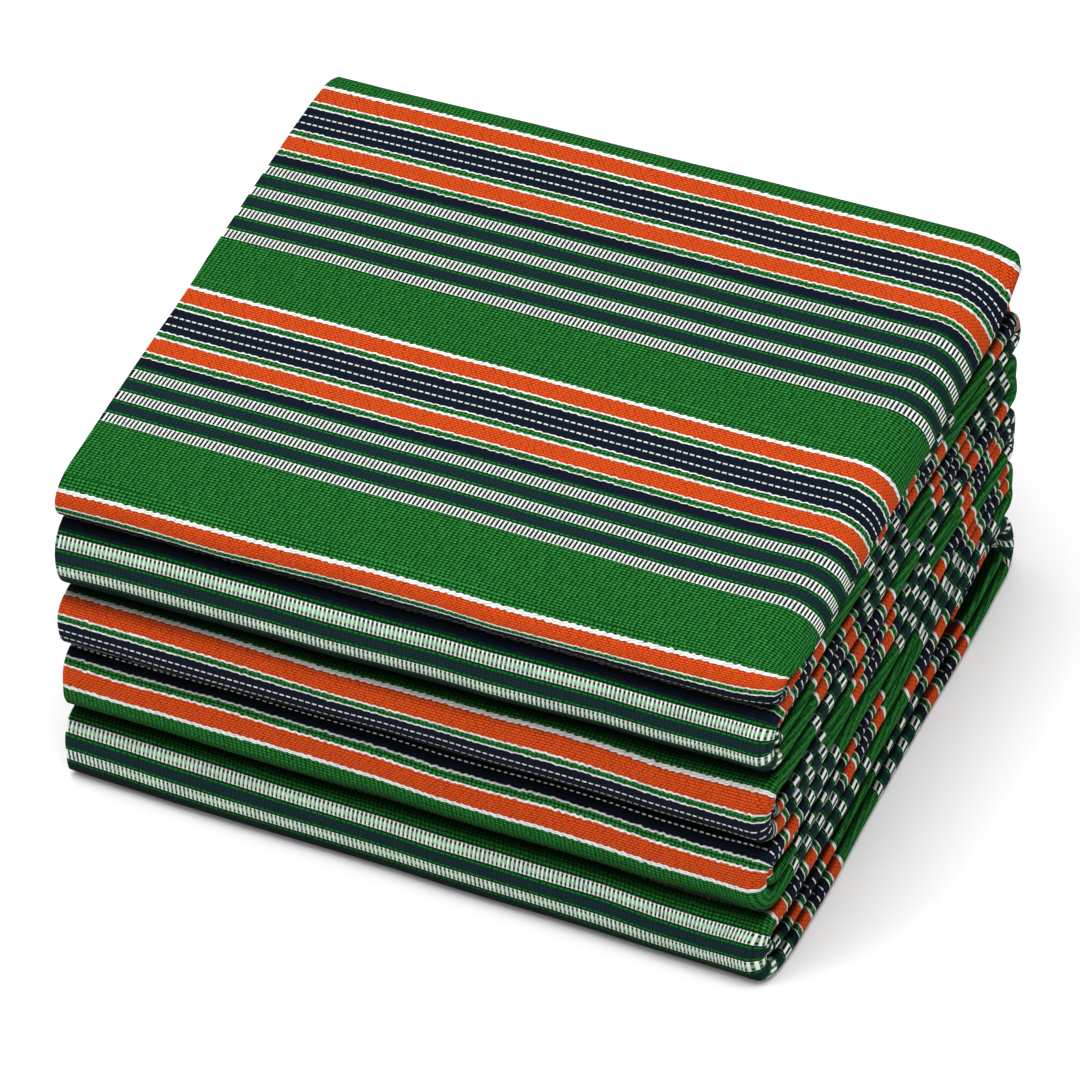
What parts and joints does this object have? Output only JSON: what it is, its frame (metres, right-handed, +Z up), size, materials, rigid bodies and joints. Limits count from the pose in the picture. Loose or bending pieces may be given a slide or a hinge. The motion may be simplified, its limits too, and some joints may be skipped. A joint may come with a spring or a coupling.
{
  "type": "folded aso-oke cloth",
  "caption": "Strip-woven cloth folded into a thick rectangular stack, with five rounded bends in front and rolled edges at the right.",
  "frame": {"origin": "centre of the folded cloth's box, on the surface that it rests on", "axes": "+Z up; +X to the right along the stripes, towards the rolled edges; the five folded bends face -Y"},
  "size_m": [0.2556, 0.2229, 0.1475],
  "materials": {
    "woven_cloth": "matt warp-faced hand weave, striped green, orange, navy and white"
  },
  "bodies": {
    "root": {"cloth": "woven_cloth"}
  },
  "joints": []
}
